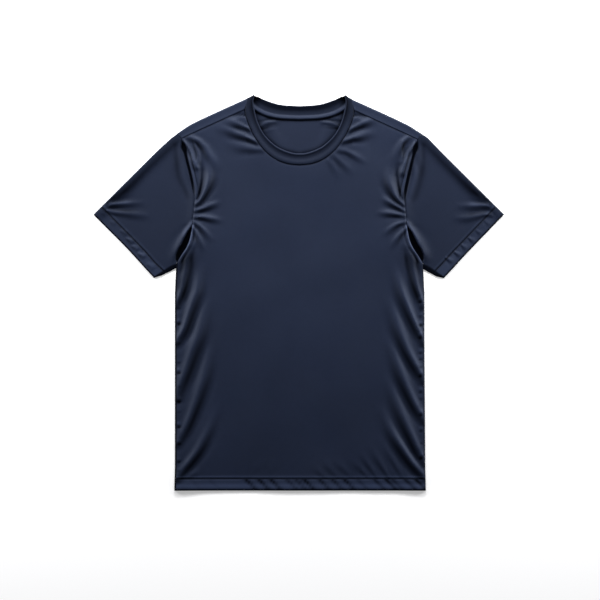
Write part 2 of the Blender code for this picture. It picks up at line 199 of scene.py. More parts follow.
def from_line(x, y, line):
    """For each point: its distance to a line, the side it lies on and how far along."""
    a, step = line[:-1], np.diff(line, axis=0)
    dx, dy = x[..., None] - a[:, 0], y[..., None] - a[:, 1]
    t = np.clip((dx * step[:, 0] + dy * step[:, 1]) / (step ** 2).sum(axis=1), 0, 1)
    dx, dy = dx - t * step[:, 0], dy - t * step[:, 1]
    gaps = np.hypot(dx, dy)
    k = gaps.argmin(axis=-1)
    pick = lambda v: np.take_along_axis(v, k[..., None], axis=-1)[..., 0]
    side = np.sign(step[k, 0] * pick(dy) - step[k, 1] * pick(dx))
    return pick(gaps), side, (k + pick(t)) / len(a)


def crease(x, y, fold, lean=1, start=0.5, slim=0.55, bright=0):
    """The lift and the painted shade of one fold, which starts at a seam, widens and fades out.

    A fold is its height, gentle and steep width, the share of its length after which it
    fades, and points. The steep side is on the right of the way along the points, or on the
    left with lean -1; it ends in a low trough and gets painted shade. A fold of negative
    height is a trough with painted shade along it. Start and slim are the shares of the
    height and the width that the fold has where it starts; bright paints light on its gentle side."""
    height, gentle, steep, fade, *points = fold
    line = curve(points, 33)
    lift, shade = np.zeros_like(x), np.zeros_like(x)
    reach = 3.2 * max(gentle, steep)
    (left, low), (right, high) = line.min(axis=0) - reach, line.max(axis=0) + reach
    near = (x > left) & (x < right) & (y > low) & (y < high)
    if not near.any():
        return lift, shade
    gap, side, along = from_line(x[near], y[near], line)
    spread = slim + (1.15 - slim) * ease(along / 0.7)
    is_steep = side * lean < 0
    away = gap / (np.where(is_steep, steep, gentle) * spread)
    ebb = 1 - 0.75 * ease((along - 0.25) / 0.5)
    shape = bell(away, 1) - np.where(is_steep, 0.32, 0.1) * ebb * bell(away - 2, 0.9)
    strength = (start + (1 - start) * ease(along / 0.2)) * (1 - ease((along - fade) / (1 - fade)))
    lift[near] = height * strength * shape
    # Painted shade on the steep side, or along a trough; bright paints light on the gentle side.
    dark = is_steep * bell(away - 0.95, 0.62) if height > 0 else bell(away, 1)
    dark = dark - bright * ~is_steep * bell(away - 0.6, 0.5)
    shade[near] = dark * strength * ebb * min(1, abs(height) / 3.6)
    return lift, shade


def crease_all(x, y, folds, *how, **named):
    """Lift and painted shade of several folds together."""
    return np.sum([crease(x, y, fold, *how, **named) for fold in folds], axis=0)


def laid(points):
    """Where points come to lie on the table: no shirt lies quite evenly.

    The right shoulder lies lower than the left, both sleeves swing a little to the left, the
    right side spreads towards the hem, the sleeves' lower corners spread outwards, and the
    left sleeve's hem is drawn in at its middle."""
    x, y = points[..., 0], points[..., 1]
    shoulder = ease((x - 84) / 20) * (1 - ease((x - 236) / 20)) * ease((y - 230) / 70)
    sleeve = ease((np.abs(x) - 250) / 40)
    spread = ease((x - 190) / 50) * ease((-60 - y) / 300) * (1 - sleeve)
    left = 0.7 * ease((-190 - x) / 50) * (1 - sleeve)
    corner = np.where(x > 0, 1.7, -0.6) * sleeve * ease((80 - y) / 40)
    drawn = 2 * bell(y - 92, 38) * ease((-260 - x) / 50)
    return points + np.stack([1.6 * spread + left - 1.5 * sleeve + corner + drawn,
                              -1.8 * shoulder, np.zeros_like(x)], axis=-1)


def mirrored(half):
    """Left to right, from a right half that starts at the side and ends on the middle."""
    return np.vstack([half, half[::-1][1:] * (-1, 1)])[::-1]


def side_rows(armhole, hem_steps, side_step, armhole_steps):
    """Points up the right side seam and round the armhole, one for each row of a panel."""
    low = np.array(hem_steps) - HALF_LENGTH
    high = np.linspace(low[-1], UNDERARM_Y, round((UNDERARM_Y - low[-1]) / side_step) + 1)[1:-1]
    y = np.concatenate([low, high])
    half = HEM_HALF + (SIDE_HALF - HEM_HALF) * ease((y + HALF_LENGTH) / HEM_FLARE)
    x = half - CHEST_TAPER * np.maximum(0, y) / UNDERARM_Y
    return np.vstack([np.stack([x, y], axis=-1),
                      curve(armhole, armhole_steps + 1)])


def panel(side, across, top):
    """A panel's plan: rows run from side to side, columns from the hem to the top edge."""
    half = 1 - across / HEM_HALF
    half[-1] = 0
    hem_share = np.concatenate([-half, half[::-1][1:]])
    top_share = top[:, 0] / side[-1][0]
    turned = ease((side[:, 1:] - COLUMNS_TURN[0]) / (COLUMNS_TURN[1] - COLUMNS_TURN[0]))
    pull = np.clip((side[:, 1:] - NECK_PULL[0]) / (NECK_PULL[1] - NECK_PULL[0]), 0, 1)
    x = side[:, :1] * ((1 - turned) * hem_share + turned * top_share)
    y = side[:, 1:] + pull ** PULL_EASE * (top[:, 1] - side[-1][1])
    return x, y


def add_node(tree, kind, fed, **settings):
    """The outputs of a new shader node, its sockets fed with values or other outputs."""
    node = tree.nodes.new("ShaderNode" + kind)
    for setting, value in settings.items():
        setattr(node, setting, value)
    for socket, value in fed.items():
        if isinstance(value, bpy.types.NodeSocket):
            tree.links.new(value, node.inputs[socket])
        else:
            node.inputs[socket].default_value = value
    return node.outputs


def maths(tree, operation, *values):
    return add_node(tree, "Math", dict(enumerate(values)), operation=operation)[0]


def link_all(tree, sources, inputs):
    for socket, source in sources.items():
        tree.links.new(source, inputs[socket])


def new_group(name, given, made):
    """A node group with inputs of these kinds and float outputs, and both its ends."""
    group = bpy.data.node_groups.new(name, "ShaderNodeTree")
    for label, kind in given.items():
        group.interface.new_socket(label, in_out="INPUT", socket_type="NodeSocket" + kind)
    for label in made:
        group.interface.new_socket(label, in_out="OUTPUT", socket_type="NodeSocketFloat")
    given_end, made_end = (group.nodes.new("NodeGroup" + end) for end in ("Input", "Output"))
    return group, given_end.outputs, made_end.inputs


def knit_group():
    """The face of a fine jersey: upright columns of small V stitches, with painted shade where
    they lie low.
    """
    tree, given, result = new_group(
        "knit_stitches", {"Along": "Vector", "Wales": "Float", "Courses": "Float"},
        ("Height", "ShadedTone"))
    split = add_node(tree, "SeparateXYZ", {0: given["Along"]})
    wale = maths(tree, "FRACT", maths(tree, "MULTIPLY", split["X"], given["Wales"]))
    rib = maths(tree, "SINE", maths(tree, "MULTIPLY", wale, math.pi))
    from_middle = maths(tree, "ABSOLUTE", maths(tree, "SUBTRACT", wale, 0.5))
    course = maths(tree, "MULTIPLY", split["Y"], given["Courses"])
    slanted = maths(tree, "MULTIPLY_ADD", from_middle, 1.1, course)
    loop = maths(tree, "SINE", maths(tree, "MULTIPLY", slanted, 2 * math.pi))
    height = maths(tree, "MULTIPLY", rib, maths(tree, "MULTIPLY_ADD", loop, 0.22, 0.78))
    link_all(tree, {"Height": height, "ShadedTone": maths(tree, "MULTIPLY_ADD", height, 0.16, 0.88)},
             result)
    return tree


def tone_and_painted_shade_group():
    """How a washed cloth varies, broad patches and fine mottling, with painted shade in hollows
    and painted light on rims.

    Lit is 1 on open cloth, near 0 under the deepest painted shade and above 1, as painted light,
    where the mask is negative."""
    tree, given, result = new_group("tone_and_painted_shade", {"Place": "Vector", "Painted Shading": "Float"},
                                    ("ShadedTone", "Lit", "Gloss"))

    def cloud(scale, detail, low, high):
        noise = add_node(tree, "TexNoise",
                         {"Scale": scale, "Detail": detail, "Vector": given["Place"]})["Fac"]
        return add_node(tree, "MapRange", {"Value": noise, "From Min": 0.3, "From Max": 0.7,
                                           "To Min": low, "To Max": high})["Result"]

    # Lit paints the shade and light into the colour; the jersey scales its gloss by it too.
    lit = add_node(tree, "MapRange", {"Value": given["Painted Shading"], "To Min": 1, "To Max": 0.03},
                   clamp=False)["Result"]
    mottled = maths(tree, "MULTIPLY", cloud(7, 3, 0.93, 1.07), cloud(160, 2, 0.97, 1.03))
    link_all(tree, {"ShadedTone": maths(tree, "MULTIPLY", mottled, lit), "Lit": lit,
                    "Gloss": cloud(11, 2, -0.03, 0.03)}, result)
    return tree


NAVY = (0.0075, 0.0122, 0.0305)
SHEEN_TINT = (0.7, 0.8, 1, 1)
SHINE = 0.3
ROUGHNESS = 0.56
KNIT_RAISED = 0.00012     # metres
KNIT = knit_group()
TONE_AND_PAINTED_SHADE = tone_and_painted_shade_group()


def jersey(name, wales=1350, courses=1700):
    """Satin jersey: knit in stitches per metre, with its tone, painted shade and painted light,
    and a low gloss that the painted shade dims.
    """
    material, tree, shader = new_material(name, Metallic=0, Specular_Tint=SHEEN_TINT)
    grain = add_node(tree, "UVMap", {}, uv_map="grain")["UV"]
    knit = add_node(tree, "Group", {"Along": grain, "Wales": wales, "Courses": courses},
                    node_tree=KNIT)
    painted_shading = add_node(tree, "Attribute", {}, attribute_name="painted_shading")["Fac"]
    place = add_node(tree, "TexCoord", {})["Object"]
    tone_and_shade = add_node(tree, "Group", {"Place": place, "Painted Shading": painted_shading}, node_tree=TONE_AND_PAINTED_SHADE)
    both = maths(tree, "MULTIPLY", knit["ShadedTone"], tone_and_shade["ShadedTone"])
    dyed = add_node(tree, "Mix", {"Factor": 1, "A": (*NAVY, 1), "B": both},
                    data_type="RGBA", blend_type="MULTIPLY")
    bump = add_node(tree, "Bump", {"Strength": 0.5, "Distance": KNIT_RAISED,
                                   "Height": knit["Height"]})
    link_all(tree, {"Base Color": dyed["Result"],
                    "Specular IOR Level": maths(tree, "MULTIPLY", tone_and_shade["Lit"], SHINE),
                    "Roughness": maths(tree, "ADD", tone_and_shade["Gloss"], ROUGHNESS),
                    "Normal": bump["Normal"]}, shader.inputs)
    return material


def new_piece(name, points, faces, material):
    """A mesh of points in millimetres."""
    mesh = bpy.data.meshes.new(name)
    mesh.from_pydata((points * MM).tolist(), [], faces)
    mesh.materials.append(material)
    piece = bpy.data.objects.new(name, mesh)
    bpy.context.scene.collection.objects.link(piece)
    return piece, mesh


def cloth_piece(name, patches, wall, material):
    """One piece of cloth from grids of points on its outer side; its wall grows inwards.

    A patch holds points (rows, columns, 3), the grain (rows, columns, 2), the mask of painted
    shade and light and whether its face is turned over."""
    points, faces, grains, painted_shadings = [], [], [], []
    for grid, grain, painted_shading, flip in patches:
        rows, columns = grid.shape[:2]
        first = sum(len(p) for p in points)
        index = first + np.arange(rows * columns).reshape(rows, columns)
        quads = np.stack([index[:-1, :-1], index[:-1, 1:], index[1:, 1:], index[1:, :-1]],
                         axis=-1).reshape(-1, 4)
        faces += (quads[:, ::-1] if flip else quads).tolist()
        points.append(laid(grid.reshape(-1, 3)))
        grains.append(grain.reshape(-1, 2) * MM)
        painted_shadings.append(painted_shading.reshape(-1))
    piece, mesh = new_piece(name, np.vstack(points), faces, material)
    corners = np.zeros(len(mesh.loops), np.int32)
    mesh.loops.foreach_get("vertex_index", corners)
    layer = mesh.uv_layers.new(name="grain")
    layer.data.foreach_set("uv", np.vstack(grains)[corners].ravel())
    mask = mesh.attributes.new("painted_shading", "FLOAT", "POINT")
    mask.data.foreach_set("value", np.concatenate(painted_shadings))

    bpy.ops.object.select_all(action="DESELECT")
    piece.select_set(True)
    bpy.context.view_layer.objects.active = piece
    weld = piece.modifiers.new("weld", "WELD")
    weld.merge_threshold = 0.00001
    bpy.ops.object.modifier_apply(modifier="weld")
    if wall:
        thick = piece.modifiers.new("wall", "SOLIDIFY")
        thick.thickness = wall * MM
        thick.offset = -1
        bpy.ops.object.modifier_apply(modifier="wall")
        for vertex in mesh.vertices:
            vertex.co.z = max(0, vertex.co.z)
    bpy.ops.object.shade_smooth_by_angle(angle=math.radians(55))
    piece.select_set(False)
    return piece


back_side = side_rows(BACK_ARMHOLE, [0, 1, 3, 8, 14, 20, 23.5, 24.5, 25.5, 28], 6, 116)
shoulder_share = np.linspace(1, 0, 37)
fold = curve(SHOULDER_FOLD, shoulder_share)
along = np.gradient(fold, axis=0)
out = np.stack([along[:, 1], -along[:, 0]], axis=-1)
out /= np.linalg.norm(out, axis=1)[:, None]
fold_base = fold - ROLL * out
fold_base[0] = back_side[-1]
back_across = stations([(0, 6, 4), (6, 150, 42), (150, 249.5, 40)])
back_neck = curve([fold_base[-1]] + BAND_SEAM_BACK[1:], len(back_across) - len(fold) + 1)[1:]
back_neck[:, 1] += NECK_ALLOWANCE
x, y = panel(back_side, back_across, mirrored(np.vstack([fold_base, back_neck])))
at_hem = np.abs(y + HALF_LENGTH - HEM_DEPTH) < 1.2
inside, inside_shade = crease_all(x, y, INSIDE_FOLDS, start=0.7)
to_band = from_line(np.abs(x), y, curve(BAND_SEAM_BACK, 60))[0]
under_band = bell(to_band, 4)
z = (np.maximum(crease_all(x, y, BACK_CREASES)[0], 0) + 0.25 * at_hem
     + np.maximum(inside, 0) * (1 - under_band))
# The band's free edge in front shades it, up to where it turns; that shade is painted.
rim = curve(BAND_FREE_FRONT[:1] + BAND_FREE_FRONT[2:7], 40)
to_rim = from_line(np.abs(x), y, rim)[0]
in_neck = ease((y - 240) / 20) * (np.abs(x) < 100)
# Painted shade inside the neck: in the inside folds, under the band, under the front's free edge
# and along the band's seam.
back_painted_shading = np.clip(0.13 * in_neck + 0.85 * inside_shade + 0.45 * under_band
                      + 0.55 * bell(to_rim, 4.5) + 0.3 * bell(to_band, 1.6), 0, 0.93)
back_patches = [(np.dstack([x, y, z]), np.dstack([x, y]), back_painted_shading, True)]

# Over the shoulder: half a turn round the roll, then flat to the seam, where it sinks in.
seam = curve(SHOULDER_SEAM[::-1], 1 - shoulder_share)
rows = []
for turn in np.linspace(0, math.pi, 11):
    rows.append((fold_base + ROLL * math.sin(turn) * out, ROLL * (1 - math.cos(turn))))
for step in np.linspace(0, 1, 15)[1:]:
    sag = 0.35 * math.sin(math.pi * step) + 1.6 * ease((step - 0.9) / 0.1)
    rows.append((fold_base + (seam - fold_base) * step, EDGE_HEIGHT - sag))
strip = np.array([np.column_stack([plan, np.full(len(plan), height)]) for plan, height in rows])
run = np.arange(len(rows))[:, None] * 2 + fold_base[:, 1]
# Painted shade on the last two rows, where the strip sinks into the seam.
strip_painted_shading = np.zeros(strip.shape[:2])
strip_painted_shading[-2:] = [[0.25], [0.7]]
for sign in (1, -1):
    back_patches.append((strip * (sign, 1, 1), np.dstack([sign * strip[..., 0], run]),
                         strip_painted_shading, sign < 0))
back = cloth_piece("back_panel", back_patches, WALL, jersey("navy_jersey_back"))
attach(back, "root")
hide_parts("back")


# ------------------------------------------------------------------ front
# The front lies on the back, from the forward shoulder seams down to the hem. The same
# jersey; sewn to the back at the sides with an overlocked seam, so puckers and long soft
# folds run up and inwards from the side seams, round the armholes and out from the neck.
MIDDLE_HEIGHT = 3.2       # over the middle, where the layers touch
SETTLE = 45               # how far from a seam the cloth takes to settle
UNDERARM_FADE = 60
SIDE_ROLL = 8             # width of the soft edge at the side seam
SIDE_SEAM_HEIGHT = 1.5
HEM_RISE = 0.5            # the doubled hem stands this much proud
TWIN_GAP = 4              # between the two rows of stitches along a hem
SLIT_TOP = 309            # the slit beside each shoulder starts here
SLIT_WIDEST = 290
CLOSED_FROM = 132         # and the armhole is closed from here up to its foot
LIP = (52, 142)           # a thin lip stands beside the armhole between these heights
# DEEP is how dark the painted shade is in the deepest hollows, slits and rims.
DEEP = 0.94               # how dark the deepest hollows are
ARMHOLE_STEPS = 98
FRONT_ARMHOLE = [(247, 60), (238, 74.5), (227, 91), (220.3, 107), (216.2, 127), (213.3, 150),
    (211, 172), (209.7, 190), (211.7, 206), (215.6, 226), (220.3, 246), (225.4, 266), (230.8, 289),
    (235, 309.3)]
BAND_SEAM_FRONT = [(0, 255.4), (24.8, 258.2), (49.8, 268.3), (73, 287.9), (92.6, 316.5),
    (105, 345.1), (109.6, 362.9)]

# Folds: height, gentle and steep width, the share after which each fades, and points from
# the seam inwards. Both side seams, from the underarm down.
LEFT_SIDE_FOLDS = [
    (4.6, 6, 7, 0.35, (-247, -22), (-240, -6), (-234, 12), (-230, 32), (-225, 54), (-221, 72),
     (-216, 90)),
    (-1.6, 7, 7, 0.5, (-211, 88), (-216, 70), (-217, 54), (-221, 34), (-226, 14), (-233, -6)),
    (-1.6, 5.5, 5.5, 0.6, (-224, 88), (-233, 70), (-235.5, 54), (-242, 34), (-246, 22)),
    (6, 7, 8.5, 0.5, (-247, -96), (-233, -74), (-219.5, -34), (-209, -6), (-204, 8), (-198, 46),
     (-195, 70)),
    (5.6, 10, 10.5, 0.5, (-247, -204), (-239, -184), (-228, -154), (-214, -114), (-198, -74),
     (-189, -24), (-185, 8)),
    (4.8, 9, 9, 0.5, (-246, -298), (-231, -274), (-214, -234), (-199.5, -194), (-187, -154),
     (-179, -104), (-176, -70)),
    (4.4, 8, 8, 0.3, (-246, -368), (-227, -344), (-204, -314), (-183, -274), (-167, -234),
     (-157, -200)),
    (1, 6, 5, 0.5, (-231, -367), (-213, -360), (-195, -352)),
]
RIGHT_SIDE_FOLDS = [
    (4.6, 6, 7, 0.35, (248, -24), (241, -6), (234.5, 12), (229, 32), (224, 54), (220, 72),
     (216, 90)),
    (-1.6, 7, 7, 0.5, (210, 84), (212, 69), (215, 54), (221, 34), (227, 14), (234, -6)),
    (-1.6, 5.5, 5.5, 0.6, (224, 86), (234, 70), (235, 54), (242, 34), (246, 22)),
    (5.6, 7, 8, 0.5, (249, -98), (237, -74), (219, -34), (203, 6), (193, 42), (187, 68)),
    (5.8, 9, 8.5, 0.5, (249, -174), (237, -154), (216, -114), (199, -74), (186, -34), (177, 2)),
    (5.6, 9, 8.5, 0.5, (249, -254), (236, -234), (217, -194), (200, -154), (187, -114),
     (177, -78)),
    (5.2, 9, 8.5, 0.5, (249, -338), (236, -314), (218, -274), (200, -234), (185, -194),
     (175, -156)),
    (5.6, 8, 8, 0.4, (251, -368), (229, -344), (208, -314), (183, -274), (167, -238), (156, -212)),
]
# Above the hem, towards the right corner.
HEM_FAN = [
    (1, 7, 6, 0.4, (204, -364), (190, -338), (177, -313), (160, -284)),
    (1.3, 6, 6, 0.4, (178, -366), (165, -344), (156, -328), (138, -296)),
    (1, 6, 5, 0.4, (154, -366), (140, -344), (130, -330), (114, -304)),
    (0.9, 6, 5, 0.4, (134, -364), (119, -346), (100, -324)),
    (0.9, 6, 5, 0.4, (101, -364), (87, -348), (70, -328)),
    (1, 6, 5, 0.4, (76, -366), (62, -350), (48, -324)),
    (0.8, 5, 5, 0.4, (52, -368), (39, -354), (26, -336)),
    (0.5, 6, 6, 0.4, (-99, -362), (-87, -346), (-70, -330)),
    (0.4, 6, 6, 0.4, (-67, -362), (-57, -348), (-44, -328)),
]
# Left and right armhole, from the shoulder down.
LEFT_ARMHOLE_FOLDS = [
    (3.4, 8, 7, 0.5, (-222, 312), (-204, 305), (-190, 292), (-181, 277), (-171, 262), (-160, 238)),
    (4.6, 5, 4, 0.85, (-234, 304), (-228, 299), (-222.5, 290), (-216.5, 277.5), (-213, 265.5),
     (-206.5, 253), (-201.5, 243)),
    (2.6, 4, 3, 0.8, (-212, 304), (-207, 292), (-202, 278), (-202, 266), (-204, 254)),
    (-3, 4, 6, 0.6, (-204, 188), (-199, 205), (-195.5, 225), (-195, 241), (-197, 256),
     (-199, 268)),
    (4.4, 6, 7, 0.5, (-206, 179), (-199, 185), (-193, 194), (-187, 206), (-181, 222), (-179, 240),
     (-184, 268)),
    (3.2, 5, 5, 0.5, (-209, 165), (-193, 169), (-181, 174), (-152, 185)),
    (3.2, 5, 5, 0.5, (-209, 152), (-193, 152), (-181, 150), (-148, 144)),
    (2.8, 5, 5, 0.4, (-210, 142), (-199, 134), (-189, 124), (-168, 98)),
    (2.8, 5, 5, 0.5, (-214, 134), (-207, 122), (-200, 108), (-188, 78)),
]
RIGHT_ARMHOLE_FOLDS = [
    (3, 8, 7, 0.4, (219, 314), (206, 304), (198, 290), (191, 272), (187, 248)),
    (4.6, 5, 4, 0.85, (234, 304), (229, 299), (223.5, 290), (217, 277.5), (213.5, 265.5),
     (209.5, 253.5), (206, 241), (203, 230)),
    (2.2, 4, 3, 0.8, (208, 304), (204, 292), (203.5, 278), (203, 266), (202.5, 254)),
    (-3, 4, 6, 0.6, (205, 188), (200, 205), (197, 225), (196, 241), (196, 256), (198, 268)),
    (4.4, 6, 7, 0.5, (207, 178), (198, 186), (190, 196), (183, 210), (177, 228), (175, 256)),
    (3.4, 5, 5, 0.5, (209, 165), (194, 174), (182, 181), (158, 194)),
    (3, 5, 5, 0.5, (209, 155), (191, 158), (177, 160), (148, 162)),
    (2.6, 5, 5, 0.4, (210, 142), (196, 138), (183, 130), (162, 112)),
    (2.6, 5, 5, 0.4, (213, 131), (203, 120), (193, 108), (178, 84)),
]
# Out from the neckband's seam; the steep side faces the hem.
LEFT_NECK_FOLDS = [
    (-2.2, 5, 4, 0.5, (-104, 352), (-112, 356), (-126, 356.5), (-146, 349)),
    (3.9, 4.5, 5, 0.4, (-101, 328), (-119, 336), (-136, 343), (-156, 348)),
    (3.8, 6, 6, 0.4, (-87, 303), (-105, 311), (-124, 318), (-145, 327), (-176, 336)),
    (1.8, 7, 8, 0.4, (-77, 287), (-99, 289), (-125, 296), (-156, 310)),
]
RIGHT_NECK_FOLDS = [
    (-2.2, 4, 5, 0.5, (103, 353), (112, 358), (126, 357.5), (146, 349)),
    (4, 5, 5, 0.4, (101, 328), (118, 337), (139, 346), (162, 353)),
    (3.6, 6, 6, 0.4, (88, 304), (105, 311), (118, 314.5), (134, 320), (158, 325)),
    (2.4, 6, 5, 0.4, (79, 286), (99, 282), (120, 270), (142, 256)),
    (1.8, 6, 5, 0.4, (66, 277), (81, 264), (97, 250), (113, 232)),
    (1, 6, 6, 0.4, (58, 265), (70, 250), (84, 226)),
]
# Each group with the side of its steep face, its start, slim and bright, the painted light on its
# gentle sides.
FOLD_GROUPS = [(LEFT_SIDE_FOLDS, 1, 0.5, 0.85, 0), (RIGHT_SIDE_FOLDS, -1, 0.5, 0.85, 0.45),
               (LEFT_ARMHOLE_FOLDS, 1, 0.5, 0.55, 0), (RIGHT_ARMHOLE_FOLDS, -1, 0.5, 0.55, 0),
               (LEFT_NECK_FOLDS, -1, 0.75, 0.55, 0), (RIGHT_NECK_FOLDS, 1, 0.75, 0.55, 0),
               (HEM_FAN, -1, 0.5, 0.55, 0)]
# Furrows slant across the turned-up hem at 45 degrees: place along its middle, and depth.
HEM_PULLS = [(-207, 0.15), (-170, 0.15), (-97, 0.9), (-71, 0.95), (-47, 0.9), (-15, 0.6),
    (3, 0.65), (19.5, 1), (50, 0.8), (76, 0.75), (100, 0.9), (126, 0.4), (160, 0.7), (183, 0.9),
    (196, 0.6), (220.5, 0.75), (241, 1)]
# Dents along the side seams, where the overlock draws the cloth in: height along the side,
# length and depth; the folds end between them.
LEFT_DENTS = [(-22, 12, 0.5), (-31, 3, 0.6), (-61.5, 4.5, 1.5), (-101, 3, 0.7), (-139.5, 3, 0.8),
    (-159.5, 4.5, 1.5), (-188, 3, 0.5), (-217.5, 4.5, 1.6), (-238, 3, 0.5), (-267.5, 4.5, 1.5),
    (-301.5, 4, 1.2), (-337.5, 4, 1.2), (-356, 3, 0.7)]
RIGHT_DENTS = [(-17.5, 4, 1.2), (-34, 9, 0.4), (-47, 3, 0.6), (-64.5, 4, 1.4), (-89, 5, 1.3),
    (-119.5, 3.5, 0.9), (-132, 3, 0.8), (-148, 3, 0.6), (-166, 5, 1.3), (-197.5, 4, 1),
    (-212, 3, 0.7), (-243.5, 5, 1.3), (-275.5, 4, 1), (-300, 3, 0.5), (-329.5, 5, 1.3)]
# Slow waves in the flat middle: turns across and along, each in radians a metre, phase, height.
WAVES = [(34, 12, 0.4, 0.3), (-15, 31, 1.9, 0.28), (21, -44, 3.1, 0.2), (63, 22, 0.7, 0.1)]
# Painted shade near both underarms; painted light on the folds beside the armholes.
FRONT_PAINTED_LIGHT_AND_SHADE = [
    (0.3, 14, (-228, 100), (-236, 60), (-238, 20), (-242, -24)),
    (0.3, 14, (228, 100), (236, 60), (238, 20), (242, -24)),
    (-0.3, 3.5, (-222, 292), (-215, 278), (-211, 265.5), (-204.5, 253), (-198, 238)),
    (-0.16, 3.5, (223, 290), (217, 278), (211, 265), (206.5, 253), (201, 238)),
    (-0.16, 7, (-192, 300), (-183, 288), (-174, 272), (-163, 252)),
]


def painted_light_and_shade(x, y, lines):
    """Painted shade, and painted light below 0, along lines: depth, half width and points."""
    total = np.zeros_like(x)
    for depth, width, *points in lines:
        gap, _, along = from_line(x, y, curve(points, 17))
        total += depth * bell(gap, width) * ease(4 * along) * ease(4 * (1 - along))
    return total


def hollow_of(z):
    """0 to 1 where a grid of heights lies lower than what is round it."""
    calm = z
    for _ in range(10):
        p = np.pad(calm, 1, mode="edge")
        calm = (p[:-2, 1:-1] + p[2:, 1:-1] + p[1:-1, :-2] + p[1:-1, 2:] + 4 * calm) / 8
    return np.clip((calm - z) / 1.6, 0, 1)


def along_armhole(y, foot, rise):
    """How far an armhole gapes as a slit, from its foot up, and how far it is closed."""
    slit = ease((y - foot) / rise) * ease((SLIT_TOP - y) / 12)
    return slit, ease((y - CLOSED_FROM) / 10) * (1 - slit)


def darkened(painted_shading, spots):
    """The mask of painted shade, drawn to a given painted darkness near each of several places."""
    for near, dark in spots:
        painted_shading = painted_shading * (1 - near) + dark * near
    return painted_shading


front_side = side_rows(FRONT_ARMHOLE, [0, 0.5, 1.2, 2.5, 5, 8, 11, 14, 17, 19.5, 21.5, 22.7,
                                       23.6, 24.5, 25.4, 26.3, 28, 30.5, 33.5],
                       3, ARMHOLE_STEPS)
front_across = stations([(0, 6, 6), (6, 130, 56), (130, 249.5, 24)])
shoulder_run = stations([(0, 6, 6), (6, 70, 28), (70, 136.2, 14)])
seam_ends = np.array(SHOULDER_SEAM[::-1])
seam_way = (seam_ends[1] - seam_ends[0]) / np.linalg.norm(seam_ends[1] - seam_ends[0])
shoulder_edge = seam_ends[0] + shoulder_run[:, None] * seam_way
front_neck = curve(BAND_SEAM_FRONT, np.linspace(1, 0, len(front_across) - len(shoulder_run)))
top_edge = np.vstack([shoulder_edge, front_neck])
x, y = panel(front_side, front_across, mirrored(top_edge))
across = np.abs(x)

armhole_line = front_side[-ARMHOLE_STEPS - 1:]
to_sewn = from_line(across, y, np.vstack([armhole_line[:-1], top_edge]))[0]
lift = np.maximum(bell(to_sewn, SETTLE), bell(SIDE_HALF - across, SETTLE)
                  * (1 - ease((y - UNDERARM_Y) / UNDERARM_FADE)))
z = MIDDLE_HEIGHT + (EDGE_HEIGHT - MIDDLE_HEIGHT) * lift
shade = np.zeros_like(z)
for folds, *how in FOLD_GROUPS:
    lift, own = crease_all(x, y, folds, *how)
    z += lift
    shade += own
# Each dent gets painted shade, and the puff above it painted light.
for sign, dents in ((-1, LEFT_DENTS), (1, RIGHT_DENTS)):
    for at, long, depth in dents:
        dent = bell(y - at, 0.62 * long) * bell(sign * x - 241.5, 3.6)
        puff = bell(y - at - 1.5 * long, 0.8 * long) * bell(sign * x - 242, 3.4)
        z += depth * (0.9 * puff - dent)
        shade += depth * (0.9 * dent - 0.55 * puff)
for wave_x, wave_y, phase, height in WAVES:
    z += height * np.sin((wave_x * x + wave_y * y) * MM + phase)

hem = y + HALF_LENGTH
to_groove = hem - HEM_DEPTH
in_hem = ease(-to_groove / 2)
pulled = sum(depth * bell(x + hem - at - 12, 5) for at, depth in HEM_PULLS)
z += HEM_RISE * (1 - ease(to_groove / 2)) - 0.5 * in_hem * pulled
z += 0.4 * bell(to_groove - TWIN_GAP, 1.8) - 0.9 * bell(to_groove, 1)
z -= 1.1 * np.clip(1 - hem / 2.5, 0, 1) ** 2

# The neck and shoulder seams sink in. Beside the sleeve the edge drops into a deep slit at
# the top of the armhole, closes over its middle, and stands as a thin lip at the underarm.
to_neck = from_line(across, y, top_edge)[0]
to_hole = from_line(across, y, armhole_line)[0]
slit, closed = along_armhole(y, np.where(x < 0, 186, 170), 40)
slit_width = 2.7 + 2.2 * bell(y - SLIT_WIDEST, 9)
in_slit = slit * ease((slit_width - to_hole) / 2 + 0.5)
beside = slit * ease((292 - y) / 14)
z -= 0.4 * bell(to_neck, 1.8) + 3.2 * in_slit + 0.9 * closed * bell(to_hole, 2)
z += beside * (0.5 * bell(to_hole - 6, 1.3) - 0.8 * bell(to_hole - 9.6, 1.2))
lip = ease((LIP[1] - y) / 14) * ease((y - LIP[0]) / 12)
z += lip * (1.2 * bell(to_hole - 2.6, 2.2) - bell(to_hole - 8, 3)
            - 2.2 * np.clip(1 - to_hole / 1.6, 0, 1) ** 2)

inward = front_side[:, :1] - across
edge = np.clip(1 - inward / SIDE_ROLL, 0, 1)
rolled = 1 - ease((front_side[:, 1:] - UNDERARM_Y + 5) / 30)
z -= (z - SIDE_SEAM_HEIGHT) * (1 - np.sqrt(1 - edge ** 2)) * rolled
z = np.maximum(z, 1.5)

# Painted shade in hollows, seams, slits, near the underarms and round the outer rim; painted light
# on the doubled hem, beside its stitching, on thin lips and a little over the middle.
painted_shading = np.minimum(0.92, 0.4 * hollow_of(z) + 0.7 * shade)
painted_shading += painted_light_and_shade(x, y, FRONT_PAINTED_LIGHT_AND_SHADE) * ease((to_hole - 3) / 4)
